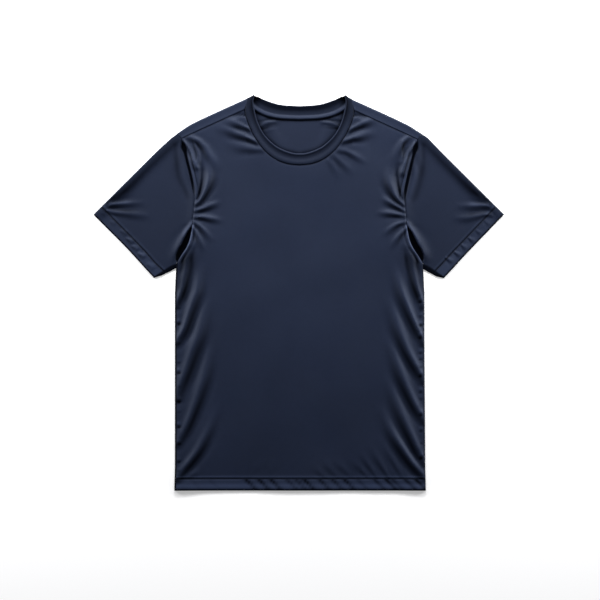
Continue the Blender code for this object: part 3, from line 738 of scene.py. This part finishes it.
# Painted light on the hem band, strongest along its middle and less towards the left end; the
# pulls get painted shade.
painted_shading -= in_hem * (0.42 + 1.1 * bell(hem - 9.5, 4.5) - 1.5 * np.minimum(pulled, 1)
                    - 0.5 * ease((-215 - x) / 35))
painted_shading -= 1.3 * bell(to_groove - TWIN_GAP, 1.2)
painted_shading -= 0.07 * bell(x, 120) * bell(y + 20, 150)
painted_shading -= lip * (1.6 - 0.6 * ease((92 - y) / 16)) * bell(to_hole - 2.4, 1.6)
painted_shading += 0.5 * beside * (bell(to_hole - 9.6, 1.5) - bell(to_hole - 6, 1.5))
painted_shading += 0.36 * bell(across - 221, 17) * bell(y - 70, 24) * ease((to_hole - 4) / 4)
# Painted shade round the outer rim, stronger on the left.
rim = rolled * ease((5 - inward) / 2) * np.where(x < 0, 1, 0.4)
painted_shading = darkened(np.minimum(painted_shading, DEEP), (
    (bell(to_groove, 1), 1), (bell(to_neck, 1.3), 0.55 + 0.3 * (across < 45)),
    (bell(hem - 1.6, 2), 0.93), (in_slit, DEEP), (rim, 0.85)))
front_grid = np.dstack([x, y, z])
front = cloth_piece("front_panel", [(front_grid, np.dstack([x, y]), painted_shading, False)], WALL,
                    jersey("navy_jersey_front"))
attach(front, "root")
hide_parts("front")


# ------------------------------------------------------------------ sleeves
# Each sleeve is one piece of the same jersey, folded flat along its top edge and sewn under
# the arm, with a turned-up hem. Spread at 45 degrees it pulls a deep tuck open under the arm
# and a slit beside the shoulder, and its hem is drawn into two soft folds at the outer corner.
SLEEVE_HEIGHT = 2.8       # over the flat middle
SLEEVE_LONG = 190
TOP_FLAT = 4              # the top fold stays full over this width
TOP_FALL = 12             # and then falls to the middle
HOLE_REACH = 12           # width of the strip that rises to the armhole
CUFF_DEPTH = 22.5
CUFF_ROWS = [(0, 1.5, 3), (1.5, 4, 2), (4, 20, 7), (20, 25, 8), (25, 30, 3)]
SLEEVE_TOP = [(243.8, 321.4), (252.8, 314.2), (300, 267.4), (410.6, 157.2)]
SLEEVE_UNDER = [(248, 61), (263, 53.3), (290.5, 32.4)]        # of the front layer
# How far the back layer shows below the front one, from the underarm to the hem; painted dark, it
# also stands in for the shadow below the sleeve's edge.
LEFT_UNDER_REACH = [(0, 10), (0.35, 10.6), (0.7, 7.6), (0.86, 4.6), (1, 2.4)]
RIGHT_UNDER_REACH = [(0, 12), (0.35, 12.6), (0.7, 9.8), (0.86, 6), (1, 2.8)]
SEAM_TURN = 2.5           # the seam's allowance, turned in under the body
TIP_OUT = np.array([0.5, 0.866])
EDGE_OUT = np.array([0.707, 0.707])
UNDER_OUT = np.array([-0.5, -0.866])
ROLL_STEPS = 10
TUCK_FLOOR = 1.7
# Painted shade over the whole sleeve, standing in for its slope away from the lamps.
SLEEVE_PAINTED_SHADE = 0.2          # the sleeves slope away from the lamps

LEFT_SLEEVE_FOLDS = [
    (3, 6, 5, 0.4, (-390, 173.5), (-380, 176), (-363, 178.5), (-339, 179.5), (-299, 182)),
    (2.8, 6, 6.5, 0.45, (-384, 165.5), (-370, 162), (-357, 160.5), (-340, 158.5), (-310, 155.5),
     (-285, 154)),
    (-0.9, 9, 9, 0.75, (-248, 294), (-248, 277), (-246, 253), (-244, 241), (-240, 225),
     (-229, 205), (-222, 190), (-214, 176)),
    (4.2, 8, 5, 0.5, (-211, 141), (-218.5, 133), (-227, 120), (-235.5, 105), (-244, 88),
     (-251.5, 74), (-263, 56)),
]
RIGHT_SLEEVE_FOLDS = [
    (3, 6, 5, 0.4, (388, 171.5), (378, 174.5), (364, 175.5), (343, 174.5), (305, 175)),
    (2.8, 6, 6, 0.45, (384, 156.5), (371, 157.5), (358, 154.5), (335, 150.5), (298, 150)),
    (-0.9, 9, 9, 0.75, (247, 294), (248, 270), (247, 253), (245, 241), (242, 225), (237, 205),
     (230, 189), (217, 174)),
    (0.8, 8, 8, 0.8, (226, 264), (231, 243), (229, 224), (222, 204), (216, 188)),
    (4.8, 10, 5.5, 0.7, (211, 141), (218.5, 133), (227, 120), (235.5, 105), (243, 88), (250, 74),
     (260, 56)),
]
# Painted light and painted shade beside the armhole, and painted light on the wedge at the tip.
LEFT_SLEEVE_PAINTED_LIGHT_AND_SHADE = [
    (-0.14, 5, (-233, 278), (-233, 258), (-233, 241.5), (-228, 225.5), (-221, 205.5), (-216, 190)),
    (0.17, 5, (-246, 285), (-246, 262), (-245, 241), (-240, 225.5), (-229, 205.5), (-222, 189.5),
     (-217, 176)),
    (-0.45, 4, (-400, 171), (-382, 177), (-358, 179.5), (-330, 184)),
    (-0.2, 4, (-395, 168), (-370, 164), (-345, 161.5)),
    (-0.45, 4, (-206, 148), (-217, 139), (-227, 127), (-236, 112)),
]
RIGHT_SLEEVE_PAINTED_LIGHT_AND_SHADE = [
    (-0.3, 5.5, (233, 268), (232, 241.5), (229, 225.5), (223, 205.5), (217, 187), (212, 174)),
    (0.22, 6, (247, 268), (246, 247), (241, 225.5), (236, 205.5), (230, 188), (221, 172)),
    (-0.5, 4, (400, 170), (384, 174.5), (360, 177), (332, 181)),
    (-0.15, 4, (390, 162), (366, 159), (345, 156)),
    (-0.45, 4, (206, 148), (216, 139), (226, 126), (235, 109), (242, 92)),
]
# Bumps in the hems, each a short fold.
LEFT_CUFF_FOLDS = [
    (0.5, 5, 4, 0.6, (-391, 159.5), (-386, 157.5), (-381, 154.5)),
    (0.6, 5, 4, 0.6, (-375, 142.5), (-370, 140), (-365, 136.5)),
    (0.8, 5, 4, 0.6, (-356, 124.5), (-350, 121.5), (-342, 117)),
    (1.4, 5, 4, 0.6, (-344, 108.5), (-337, 104.5), (-329, 100)),
    (1.2, 5, 4, 0.6, (-334, 94), (-327, 90), (-320, 86)),
    (1.5, 5, 4, 0.6, (-321, 79), (-314, 75), (-306, 70.5)),
    (1, 6, 5, 0.6, (-301, 58), (-294, 53), (-286, 47.5)),
]
RIGHT_CUFF_FOLDS = [
    (1.3, 5, 4, 0.6, (295, 70), (302, 66), (310, 61.5)),
    (1.3, 4, 4, 0.6, (312, 82), (319, 78), (326, 73.5)),
    (1.1, 5, 4, 0.6, (326, 96), (332, 92), (338, 87.5)),
    (1.2, 5, 4, 0.6, (341, 110), (347, 106), (354, 101.5)),
    (0.8, 4, 4, 0.6, (356, 125), (362, 121), (368, 117)),
    (0.6, 5, 4, 0.6, (374, 143), (380, 139), (386, 135)),
]
# The tuck's half width from its upper end to its lower one.
TUCK = [(0, 0), (0.06, 0), (0.09, 2.2), (0.14, 5), (0.22, 8.2), (0.4, 11.4), (0.63, 12),
    (0.8, 9.5), (0.92, 5.5), (1, 0)]
# The painted shade under the top edge: out along x, how far from the edge, how wide, how dark.
TOP_SHADE = [(243, 10, 7, 0.35), (306, 11, 9, 0.45), (326, 12, 10, 0.52), (342, 11.5, 9.5, 0.62),
    (358, 8, 6.5, 0.78), (370, 5, 4.4, 0.85), (382, 2, 2.4, 0.9), (390, 1, 2, 0)]


def edge_roll(first, last, bulge):
    """Rows of points round a rolled edge, from one layer's last to the other layer's first."""
    turns = np.linspace(0, math.pi, ROLL_STEPS + 1)[1:-1, None]
    mix = (1 - np.cos(turns)) / 2
    out = np.column_stack([bulge, np.zeros(len(bulge))])[:, None]
    return first[:, None] * (1 - mix) + last[:, None] * mix + np.sin(turns) * out


def twin_rows(from_hem, points, depth):
    """Two rows of stitches across a grid of points, the first this far from the hem."""
    return [laid(np.array([[np.interp(at, from_hem[:, j], points[:, j, k]) for k in range(3)]
                           for j in range(points.shape[1])])) for at in (depth, depth + TWIN_GAP)]


def sleeve_layer(hole):
    """One layer's plan, share from underarm to top, distance to the hem and way out on top."""
    body_rows = stations([(0, 0.05, 6), (0.05, 1, 60)])[:-1]
    cuff_rows = stations(CUFF_ROWS)[::-1]
    w = run_along(hole)
    w = w[:, None] / w[-1]
    hole = hole + (0.3, 0)
    low_end = np.array(SLEEVE_UNDER[-1])
    high_end = SLEEVE_TOP[-1] - ROLL * EDGE_OUT
    cuff = low_end + (high_end - low_end) * w
    length = np.linalg.norm(cuff - hole, axis=1)
    s = np.vstack([body_rows[:, None] * (1 - cuff_rows[0] / length),
                   1 - cuff_rows[:, None] / length])
    plan = hole + (cuff - hole) * s[..., None]
    low, high = s[:, 0], s[:, -1]
    low_leaves, high_leaves = ease(low / 0.1)[:, None], ease(high / 0.1)[:, None]
    out = TIP_OUT + (EDGE_OUT - TIP_OUT) * high_leaves
    to_low = (curve(SLEEVE_UNDER, low) - plan[:, 0]) * low_leaves
    to_high = (curve(SLEEVE_TOP, high) - ROLL * out - plan[:, -1]) * high_leaves
    plan += (1 - w) ** 3 * to_low[:, None] + w ** 3 * to_high[:, None]
    return plan, w[:, 0], (1 - s) * length, out


def make_sleeve(name, node, sign, folds, cuff_folds, painted_lines, under_reach, slit_foot, slit_open):
    front_hole = np.vstack([curve(FRONT_ARMHOLE, 111), BACK_ARMHOLE[-1:]])
    upper, w, to_cuff, top_out = sleeve_layer(front_hole)
    lower = sleeve_layer(curve(BACK_ARMHOLE, 71))[0]
    x, y = upper[..., 0], upper[..., 1]
    gap = from_line(x, y, front_hole[:-1])[0]
    to_top = from_line(x, y, curve(SLEEVE_TOP, 60))[0]
    to_groove = to_cuff - CUFF_DEPTH
    in_cuff = ease(-to_groove / 2)
    slit, closed = along_armhole(y, slit_foot, 36)
    by_hole = 4.4 * slit + 5.3 * closed + 3.4 * (1 - slit - closed)
    z = SLEEVE_HEIGHT + ((EDGE_HEIGHT - SLEEVE_HEIGHT)
                         * bell(np.maximum(0, to_top - TOP_FLAT), TOP_FALL))
    z += np.maximum(0, by_hole - z) * bell(gap, HOLE_REACH)
    lift, shade = crease_all(sign * x, y, folds, sign, start=0.6)
    cuff_lift, own = crease_all(sign * x, y, cuff_folds, start=0.8)
    z += lift + cuff_lift + HEM_RISE * in_cuff
    z -= 0.4 * bell(to_groove, 1.1) + np.clip(1 - to_cuff / 3, 0, 1) ** 2

    slit_width = 2.6 + 3.2 * bell(y - SLIT_WIDEST, 8) + slit_open * bell(y - 222, 30)
    in_slit = slit * ease((slit_width - gap) / 2 + 0.5)
    z -= 2.6 * in_slit + 0.8 * closed * bell(gap, 2)
    tuck_width = np.interp(np.clip((136 - y) / 74, 0, 1), *np.transpose(TUCK))
    tuck = ease((tuck_width - gap) / 3.5 + 0.5) * (tuck_width > 1)
    z = np.maximum(z * (1 - tuck) + TUCK_FLOOR * tuck, TUCK_FLOOR)

    # Painted shade in the tuck, the slit, the hem's groove, along the folds, under the top edge
    # and round the rim; painted light on the doubled hem and beside its stitching.
    painted_shading = SLEEVE_PAINTED_SHADE + 0.45 * hollow_of(z) + 0.6 * (shade + 2 * own)
    out_x, *columns = np.transpose(TOP_SHADE)
    far, wide, deep = (np.interp(x, out_x, column) for column in columns)
    painted_shading += (1 - in_cuff) * (deep * bell(to_top - far, wide) + painted_light_and_shade(sign * x, y, painted_lines))
    painted_shading -= in_cuff * (0.2 + 0.6 * np.clip(0.6 - w, 0, 0.5) - 0.25 * ease((w - 0.85) / 0.15))
    painted_shading -= 0.42 * bell(to_groove - TWIN_GAP, 1.8)
    painted_shading = darkened(np.minimum(painted_shading, 0.92), (
        (bell(to_groove, 2), 0.85), (ease((4.4 - to_cuff) / 2.6), DEEP), (in_slit, DEEP),
        (tuck, 0.97)))

    # A first row turns the seam allowance in under the body.
    inward = upper[0] - upper[1]
    inward /= np.linalg.norm(inward, axis=1)[:, None]
    turned = upper[0] + inward * SEAM_TURN * np.minimum(1, 8 * w * (1 - w))[:, None]
    upper = np.dstack([np.vstack([turned[None], upper]),
                       np.vstack([np.full((1, len(w)), TUCK_FLOOR), z])])
    painted_shading = np.vstack([np.ones((1, len(w))), painted_shading])
    from_hem = np.vstack([to_cuff[:1] + SEAM_TURN, to_cuff])
    lower = np.vstack([lower[:1], lower])
    lower = np.dstack([lower, np.zeros(lower.shape[:2])])
    travel = np.linalg.norm(upper[:, 0, :2] - upper[1, 0, :2], axis=1)
    reaches = np.interp(travel / travel[-1], *np.transpose(under_reach)) * ease(travel / 1.5)
    top_roll = edge_roll(upper[:, -1], lower[:, -1], ROLL * np.vstack([top_out[:1], top_out]))
    under_roll = edge_roll(lower[:, 0], upper[:, 0], np.outer(reaches, UNDER_OUT))
    rings = np.concatenate([upper, top_roll, lower[:, ::-1], under_roll, upper[:, :1]], axis=1)
    # Painted shade on the rolls: some on the top roll, deep on the under roll, which stands in for
    # the shadow below the sleeve, and full on the turned-in row.
    mask = np.hstack([painted_shading, np.full(top_roll.shape[:2], 0.3), np.zeros(lower.shape[:2]),
                      np.full(under_roll.shape[:2], 0.9), painted_shading[:, :1]])
    round_it = np.array([run_along(ring) for ring in rings])
    along = np.linspace(0, SLEEVE_LONG, len(rings))[:, None]
    grain = np.dstack(np.broadcast_arrays(round_it, along))
    piece = cloth_piece(name, [(rings * (sign, 1, 1), grain, mask, sign > 0)], WALL,
                        jersey("navy_jersey_" + node))
    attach(piece, "root")
    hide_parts(node)
    return twin_rows(from_hem[::-1], upper[::-1] * (sign, 1, 1), CUFF_DEPTH)


right_seams = make_sleeve("sleeve_right_piece", "sleeve_right", 1, RIGHT_SLEEVE_FOLDS,
                          RIGHT_CUFF_FOLDS, RIGHT_SLEEVE_PAINTED_LIGHT_AND_SHADE, RIGHT_UNDER_REACH, 168, 1.2)
left_seams = make_sleeve("sleeve_left_piece", "sleeve_left", -1, LEFT_SLEEVE_FOLDS,
                         LEFT_CUFF_FOLDS, LEFT_SLEEVE_PAINTED_LIGHT_AND_SHADE, LEFT_UNDER_REACH, 186, 0)


# ------------------------------------------------------------------ neckband
# A strip of jersey folded double, sewn to the neckline and stretched a little, so its free
# edge stands as a thin rim. It turns over at the shoulders and shows its inner face at the
# back of the neck.
BAND_THICK = 1.7
BAND_HEIGHT = 6.3
BAND_WIDE = 21
BAND_FREE_BACK = [BAND_TURN[0], (81, 391.3), (67, 385), (39, 376.6), (0, 373.7)]
BAND_OUT = np.array([0.42, 0.907])
# Across the band, as a share of its width: how far it stands up in front and at the back, and
# the painted shade it gets there, painted light where below 0.
BAND_SHAPE = [(0, -0.6, 3.4, 0.5, 0.5), (0.04, 0.2, 3.3, 0, 0.5), (0.08, 0.6, 3.1, 0.1, 0.7),
    (0.13, 0.4, 2.6, 0.5, 0.7), (0.2, -0.1, 1.8, 0.7, 0.7), (0.3, -0.5, 0.8, 0.55, 0.7),
    (0.42, -0.65, 0.3, 0.45, 0.62), (0.55, -0.35, 0.2, 0.35, 0.45), (0.66, 0.1, 0.6, 0.3, 0.35),
    (0.74, 0.3, 1.4, 0.3, -0.3), (0.8, 0.3, 1.7, 0.3, -0.4), (0.88, 0.1, 2, 0.3, 0.2),
    (0.94, -0.6, 1.4, 0.5, 0.6), (1, -1.5, 0.4, 0.85, 0.92)]

swing = BAND_HEIGHT / 2 - 1.1
shares = stations([(0, 0.2, 9), (0.2, 0.84, 14), (0.84, 1, 7)])
share, *columns = np.transpose(BAND_SHAPE)
in_front, at_back, dark_front, dark_back = (np.interp(shares, share, column)
                                            for column in columns)
thick = BAND_THICK / 2 * np.sqrt(np.clip(shares / 0.05, 0.08, 1))
thick *= 1 - 0.45 * ease((shares - 0.93) / 0.07)
# Spots from the middle of the front to the middle of the back: free edge, seam and turn.
spots = []
for free_line, seam_line, steps, turn in (
        (BAND_FREE_FRONT, BAND_SEAM_FRONT + BAND_TURN[1:], 71, 0),
        (BAND_FREE_BACK, BAND_SEAM_BACK, 45, math.pi)):
    spots += [(*pair, turn) for pair in zip(curve(free_line, steps), curve(seam_line, steps))]
    if turn == 0:
        spots += [(*np.array(BAND_TURN), mid) for mid in np.linspace(0, math.pi, 17)[1:-1]]
half, dark = [], []
for free, sewn_at, turn in spots:
    middle = free + (sewn_at - free) * shares[:, None] + swing * math.sin(turn) * BAND_OUT
    over = (1 + math.cos(turn)) / 2
    level = (BAND_HEIGHT / 2 + swing * math.cos(turn)
             + over * in_front + (1 - over) * at_back)
    centre = np.column_stack([middle, np.maximum(level, thick + 0.75)])
    away = thick[:, None] * (*(math.sin(turn) * BAND_OUT), math.cos(turn))
    half.append(np.vstack([centre + away, (centre - away)[::-1]]))
    # Painted shade on the inner face, deepest where the band turns over the shoulder, and a little
    # painted shade high on the front.
    corner = (1 - over) * ease((free[0] - 52) / 32) * (1 - ease((shares - 0.5) / 0.35))
    high = 0.22 * over * ease((free[1] - 330) / 40)
    dark.append(np.concatenate([dark_front + high, np.maximum(dark_back, corner)[::-1]]))
half, dark = np.array(half), np.array(dark)
ring = np.vstack([half, half[::-1][1:] * (-1, 1, 1)])
dark = np.vstack([dark, dark[::-1][1:]])
length = run_along(ring[:, len(shares) - 1])
width = np.concatenate([shares, shares[::-1] + 1, [2]]) * BAND_WIDE
neckband = cloth_piece("neckband_piece", [(
    np.hstack([ring, ring[:, :1]]), np.dstack(np.broadcast_arrays(width, length[:, None])),
    np.hstack([dark, dark[:, :1]]), False)], 0,
    jersey("navy_band_jersey", wales=1250, courses=1500))
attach(neckband, "root")
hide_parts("neckband")


# ------------------------------------------------------------------ stitching
# The body's hem and both sleeve hems are sewn with a twin needle: two rows of navy polyester
# thread, 4 mm apart, drawn down into the jersey. The rows run on round the back of the body.
STITCH_LONG = 2.5
STITCH_PITCH = 3
THREAD_THICK = 0.42
THREAD_OUT = 0.04         # how far the thread's middle stands out of the cloth
THREAD_DARK = (0.003, 0.005, 0.012, 1)
THREAD_LIGHT = (0.007, 0.011, 0.025, 1)

thread, tree, shader = new_material("navy_thread", Roughness=0.6, Specular_IOR_Level=0.08,
                                    Specular_Tint=SHEEN_TINT)
twist = add_node(tree, "TexWave", {"Scale": 900, "Distortion": 1,
                                   "Vector": add_node(tree, "TexCoord", {})["Object"]},
                 bands_direction="DIAGONAL")["Fac"]
plied = add_node(tree, "Mix", {"A": THREAD_DARK, "B": THREAD_LIGHT, "Factor": twist},
                 data_type="RGBA")["Result"]
ply_bump = add_node(tree, "Bump", {"Distance": 0.00008, "Height": twist})["Normal"]
link_all(tree, {"Base Color": plied, "Normal": ply_bump}, shader.inputs)

bpy.ops.object.select_all(action="DESELECT")
bpy.ops.mesh.primitive_uv_sphere_add(segments=6, ring_count=4, radius=0.5,
                                     rotation=(0, math.pi / 2, 0))
stitch = bpy.context.object
stitch.scale = (THREAD_THICK, THREAD_THICK, STITCH_LONG)
bpy.ops.object.transform_apply(location=False, rotation=True, scale=True)
stitch_points = np.array([vertex.co[:] for vertex in stitch.data.vertices])
stitch_faces = sorted(list(face.vertices) for face in stitch.data.polygons)
bpy.data.objects.remove(stitch)


def sew(name, rows, out):
    """One piece of thread: copies of the stitch along each row of points."""
    points, faces = [], []
    for row in rows:
        run = run_along(row)
        spots = np.arange(STITCH_PITCH, run[-1] - STITCH_PITCH, STITCH_PITCH)
        ends = [np.stack([np.interp(spots + side * STITCH_LONG / 2, run, row[:, k])
                          for k in range(3)], axis=-1) + (0, 0, out) for side in (-1, 1)]
        for a, b in zip(*ends):
            ahead = (b - a) / np.linalg.norm(b - a)
            side = np.cross((0, 0, 1), ahead)
            side /= np.linalg.norm(side)
            faces += [[len(points) * len(stitch_points) + i for i in face]
                      for face in stitch_faces]
            points.append((a + b) / 2 + stitch_points @ np.array([ahead, side,
                                                                  np.cross(ahead, side)]))
    piece, mesh = new_piece(name, np.vstack(points), faces, thread)
    mesh.shade_smooth()
    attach(piece, "root")


for side, grid, out in (("front", front_grid, THREAD_OUT),
                        ("back", back_patches[0][0], -THREAD_OUT)):
    sew("hem_stitching_" + side, twin_rows(grid[..., 1] + HALF_LENGTH, grid, HEM_DEPTH), out)
for side, rows in (("right", right_seams), ("left", left_seams)):
    sew("sleeve_stitching_" + side, rows, THREAD_OUT)
